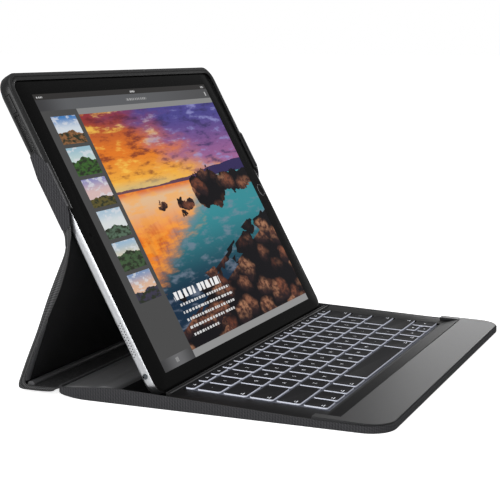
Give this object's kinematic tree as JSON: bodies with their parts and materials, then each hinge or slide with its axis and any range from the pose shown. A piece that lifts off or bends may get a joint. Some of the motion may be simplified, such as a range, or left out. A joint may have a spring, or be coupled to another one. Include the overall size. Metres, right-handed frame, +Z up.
{
  "type": "tablet keyboard case",
  "caption": "Folding fabric keyboard case standing open: a large tablet leans in its holder over sprung keys and a palm rest, propped by a hinged rear leg.",
  "frame": {"origin": "centre of the base's flat underside", "axes": "+Z up from the table, +X to the typist's right, +Y away from the typist"},
  "size_m": [0.316, 0.2659, 0.2065],
  "materials": {
    "woven_cover": "charcoal twill weave",
    "lining": "black brushed microfibre",
    "stiff_board": "pressed stiffener",
    "moulded_black": "fine satin moulding",
    "anodised_grey": "dark anodised, bead blasted, bright chamfer",
    "dock_metal": "satin bar with bright edges",
    "soft_flap": "soft grey skin",
    "key_black": "fine textured cap with pale legend",
    "backlight": "emissive white light guide",
    "inner_plate": "plain",
    "circuit": "solder mask",
    "magnet": "plated",
    "contact_gold": "gold plated",
    "holder_rubber": "satin soft-touch moulding",
    "silver_aluminium": "bead blasted, anodised silver",
    "black_glass": "polished, black behind",
    "display": "lit picture",
    "lens": "coated"
  },
  "bodies": {
    "base": {"base_cover": "woven_cover", "base_board": "stiff_board", "key_frame": "moulded_black", "palm_rest": "anodised_grey", "dock_bar": "dock_metal", "rear_deck": "moulded_black", "dock_connector": "moulded_black", "contact_pin_1": "contact_gold", "contact_pin_2": "contact_gold", "contact_pin_3": "contact_gold", "circuit_board": "circuit", "hinge_flap": "soft_flap", "dock_magnet_left": "magnet", "dock_magnet_right": "magnet", "closure_magnet_left": "magnet", "closure_magnet_right": "magnet", "backlight_sheet": "backlight", "key_support": "inner_plate"},
    "spine": {"spine_cover": "woven_cover", "spine_board": "stiff_board", "spine_lining": "lining"},
    "leg": {"leg_cover": "woven_cover", "leg_board": "stiff_board", "leg_lining": "lining"},
    "holder": {"holder_frame": "holder_rubber", "holder_board": "stiff_board", "holder_cover": "woven_cover", "tablet_housing": "silver_aluminium", "tablet_glass": "black_glass", "display_panel": "display", "tablet_core": "inner_plate", "front_camera": "lens", "rear_camera": "lens"},
    "home_button": {"home_button": "black_glass"},
    "power_button_cover": {"power_button_cover": "holder_rubber"},
    "volume_up_cover": {"volume_up_cover": "holder_rubber"},
    "volume_down_cover": {"volume_down_cover": "holder_rubber"},
    "key_globe": {"key_globe": "key_black"},
    "key_control": {"key_control": "key_black"},
    "key_option_left": {"key_option_left": "key_black"},
    "key_command_left": {"key_command_left": "key_black"},
    "key_space": {"key_space": "key_black"},
    "key_command_right": {"key_command_right": "key_black"},
    "key_option_right": {"key_option_right": "key_black"},
    "key_arrow_left": {"key_arrow_left": "key_black"},
    "key_arrow_right": {"key_arrow_right": "key_black"},
    "key_arrow_down": {"key_arrow_down": "key_black"},
    "key_arrow_up": {"key_arrow_up": "key_black"},
    "key_shift_left": {"key_shift_left": "key_black"},
    "key_shift_right": {"key_shift_right": "key_black"},
    "key_caps": {"key_caps": "key_black"},
    "key_return": {"key_return": "key_black"},
    "key_tab": {"key_tab": "key_black"},
    "key_delete": {"key_delete": "key_black"},
    "keys_bottom_letters": {"keys_bottom_letters": "key_black"},
    "keys_home_letters": {"keys_home_letters": "key_black"},
    "keys_top_letters": {"keys_top_letters": "key_black"},
    "keys_numbers": {"keys_numbers": "key_black"},
    "keys_functions": {"keys_functions": "key_black"}
  },
  "joints": [
    {"name": "spine_fold", "type": "hinge", "parent": "base", "child": "spine", "pos_m": [0, 0.1113, 0.005], "axis": [1, 0, 0], "range_deg": [0, 90]},
    {"name": "leg_fold", "type": "hinge", "parent": "spine", "child": "leg", "pos_m": [0, 0.1408, 0.002], "axis": [1, 0, 0], "range_deg": [-109.5, 0]},
    {"name": "holder_fold", "type": "hinge", "parent": "leg", "child": "holder", "pos_m": [0, 0.10392, 0.10642], "axis": [1, 0, 0], "range_deg": [0, 47.8]},
    {"name": "key_globe_press", "type": "slide", "parent": "base", "child": "key_globe", "axis": [0, -0.034, 0.9994], "range_m": [-0.0014, 0], "stiffness_N_per_m": 400},
    {"name": "key_control_press", "type": "slide", "parent": "base", "child": "key_control", "axis": [0, -0.034, 0.9994], "range_m": [-0.0014, 0], "stiffness_N_per_m": 400},
    {"name": "key_option_left_press", "type": "slide", "parent": "base", "child": "key_option_left", "axis": [0, -0.034, 0.9994], "range_m": [-0.0014, 0], "stiffness_N_per_m": 400},
    {"name": "key_command_left_press", "type": "slide", "parent": "base", "child": "key_command_left", "axis": [0, -0.034, 0.9994], "range_m": [-0.0014, 0], "stiffness_N_per_m": 400},
    {"name": "key_space_press", "type": "slide", "parent": "base", "child": "key_space", "axis": [0, -0.034, 0.9994], "range_m": [-0.0014, 0], "stiffness_N_per_m": 400},
    {"name": "key_command_right_press", "type": "slide", "parent": "base", "child": "key_command_right", "axis": [0, -0.034, 0.9994], "range_m": [-0.0014, 0], "stiffness_N_per_m": 400},
    {"name": "key_option_right_press", "type": "slide", "parent": "base", "child": "key_option_right", "axis": [0, -0.034, 0.9994], "range_m": [-0.0014, 0], "stiffness_N_per_m": 400},
    {"name": "key_arrow_left_press", "type": "slide", "parent": "base", "child": "key_arrow_left", "axis": [0, -0.034, 0.9994], "range_m": [-0.0014, 0], "stiffness_N_per_m": 400},
    {"name": "key_arrow_right_press", "type": "slide", "parent": "base", "child": "key_arrow_right", "axis": [0, -0.034, 0.9994], "range_m": [-0.0014, 0], "stiffness_N_per_m": 400},
    {"name": "key_arrow_down_press", "type": "slide", "parent": "base", "child": "key_arrow_down", "axis": [0, -0.034, 0.9994], "range_m": [-0.0014, 0], "stiffness_N_per_m": 400},
    {"name": "key_arrow_up_press", "type": "slide", "parent": "base", "child": "key_arrow_up", "axis": [0, -0.034, 0.9994], "range_m": [-0.0014, 0], "stiffness_N_per_m": 400},
    {"name": "key_shift_left_press", "type": "slide", "parent": "base", "child": "key_shift_left", "axis": [0, -0.034, 0.9994], "range_m": [-0.0014, 0], "stiffness_N_per_m": 400},
    {"name": "key_shift_right_press", "type": "slide", "parent": "base", "child": "key_shift_right", "axis": [0, -0.034, 0.9994], "range_m": [-0.0014, 0], "stiffness_N_per_m": 400},
    {"name": "key_caps_press", "type": "slide", "parent": "base", "child": "key_caps", "axis": [0, -0.034, 0.9994], "range_m": [-0.0014, 0], "stiffness_N_per_m": 400},
    {"name": "key_return_press", "type": "slide", "parent": "base", "child": "key_return", "axis": [0, -0.034, 0.9994], "range_m": [-0.0014, 0], "stiffness_N_per_m": 400},
    {"name": "key_tab_press", "type": "slide", "parent": "base", "child": "key_tab", "axis": [0, -0.034, 0.9994], "range_m": [-0.0014, 0], "stiffness_N_per_m": 400},
    {"name": "key_delete_press", "type": "slide", "parent": "base", "child": "key_delete", "axis": [0, -0.034, 0.9994], "range_m": [-0.0014, 0], "stiffness_N_per_m": 400},
    {"name": "keys_bottom_letters_press", "type": "slide", "parent": "base", "child": "keys_bottom_letters", "axis": [0, -0.034, 0.9994], "range_m": [-0.0014, 0], "stiffness_N_per_m": 4000},
    {"name": "keys_home_letters_press", "type": "slide", "parent": "base", "child": "keys_home_letters", "axis": [0, -0.034, 0.9994], "range_m": [-0.0014, 0], "stiffness_N_per_m": 4400},
    {"name": "keys_top_letters_press", "type": "slide", "parent": "base", "child": "keys_top_letters", "axis": [0, -0.034, 0.9994], "range_m": [-0.0014, 0], "stiffness_N_per_m": 5200},
    {"name": "keys_numbers_press", "type": "slide", "parent": "base", "child": "keys_numbers", "axis": [0, -0.034, 0.9994], "range_m": [-0.0014, 0], "stiffness_N_per_m": 5200},
    {"name": "keys_functions_press", "type": "slide", "parent": "base", "child": "keys_functions", "axis": [0, -0.034, 0.9994], "range_m": [-0.0014, 0], "stiffness_N_per_m": 5600},
    {"name": "home_button_press", "type": "slide", "parent": "holder", "child": "home_button", "axis": [0, 0.8805, -0.4741], "range_m": [0, 0.0004], "stiffness_N_per_m": 1500},
    {"name": "power_button_press", "type": "slide", "parent": "holder", "child": "power_button_cover", "axis": [1, 0, 0], "range_m": [0, 0.0005], "stiffness_N_per_m": 1500},
    {"name": "volume_up_press", "type": "slide", "parent": "holder", "child": "volume_up_cover", "axis": [0, -0.4741, -0.8805], "range_m": [0, 0.0005], "stiffness_N_per_m": 1500},
    {"name": "volume_down_press", "type": "slide", "parent": "holder", "child": "volume_down_cover", "axis": [0, -0.4741, -0.8805], "range_m": [0, 0.0005], "stiffness_N_per_m": 1500}
  ],
  "couplings": [
    {"joint": "leg_fold", "follows": "spine_fold", "ratio": -1.2161},
    {"joint": "holder_fold", "follows": "spine_fold", "ratio": 0.53057}
  ]
}
